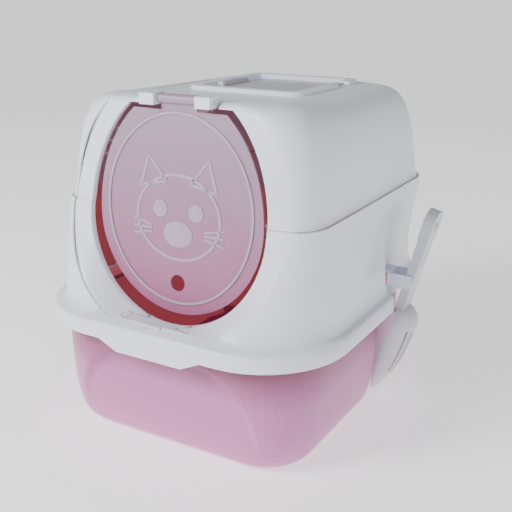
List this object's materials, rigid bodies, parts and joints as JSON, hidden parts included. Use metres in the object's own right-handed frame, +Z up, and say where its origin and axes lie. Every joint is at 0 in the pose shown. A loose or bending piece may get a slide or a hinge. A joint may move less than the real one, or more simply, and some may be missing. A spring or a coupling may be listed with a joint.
{
  "type": "cat litter box",
  "caption": "Hooded cat litter box: open tray, two-part hood with a tilting cover, a swinging door flap, a roof hatch and a scoop held in a side clip.",
  "frame": {"origin": "on the floor under the middle of the hood's skirt", "axes": "+Z up, the door faces -Y, +X to the right seen from the front"},
  "size_m": [0.4371, 0.46, 0.4275],
  "materials": {
    "pink_tray": "satin moulded polypropylene",
    "white_hood": "satin moulded polypropylene",
    "white_cover": "satin moulded polypropylene",
    "clear_flap": "translucent moulded polypropylene",
    "clear_hatch": "translucent moulded polypropylene",
    "clear_scoop": "translucent moulded polypropylene",
    "clip_plastic": "moulded polypropylene",
    "catch_plastic": "moulded polypropylene",
    "pin_plastic": "turned acetal rod"
  },
  "bodies": {
    "tray_body": {"tray": "pink_tray", "front_catch": "catch_plastic"},
    "hood_body": {"lower_hood": "white_hood", "cover_hinge_pins": "pin_plastic", "scoop_clip": "clip_plastic"},
    "cover_body": {"upper_hood": "white_cover", "flap_axle": "pin_plastic", "hatch_axle": "pin_plastic"},
    "flap_body": {"door_flap": "clear_flap"},
    "hatch_body": {"roof_hatch": "clear_hatch"},
    "scoop_body": {"scoop": "clear_scoop"}
  },
  "joints": [
    {"name": "hood_lift", "type": "slide", "parent": "tray_body", "child": "hood_body", "axis": [0, 0, 1], "range_m": [0, 0.1]},
    {"name": "cover_tilt", "type": "hinge", "parent": "hood_body", "child": "cover_body", "pos_m": [0, 0.214, 0.292], "axis": [-1, 0, 0], "range_deg": [0, 75]},
    {"name": "flap_swing", "type": "hinge", "parent": "cover_body", "child": "flap_body", "pos_m": [0, -0.154, 0.422], "axis": [1, 0, 0], "range_deg": [-75, 60]},
    {"name": "hatch_open", "type": "hinge", "parent": "cover_body", "child": "hatch_body", "pos_m": [-0.064, 0.068, 0.415], "axis": [0, -1, 0], "range_deg": [0, 100]},
    {"name": "scoop_pull", "type": "slide", "parent": "hood_body", "child": "scoop_body", "axis": [1, 0, 0], "range_m": [0, 0.08]}
  ]
}
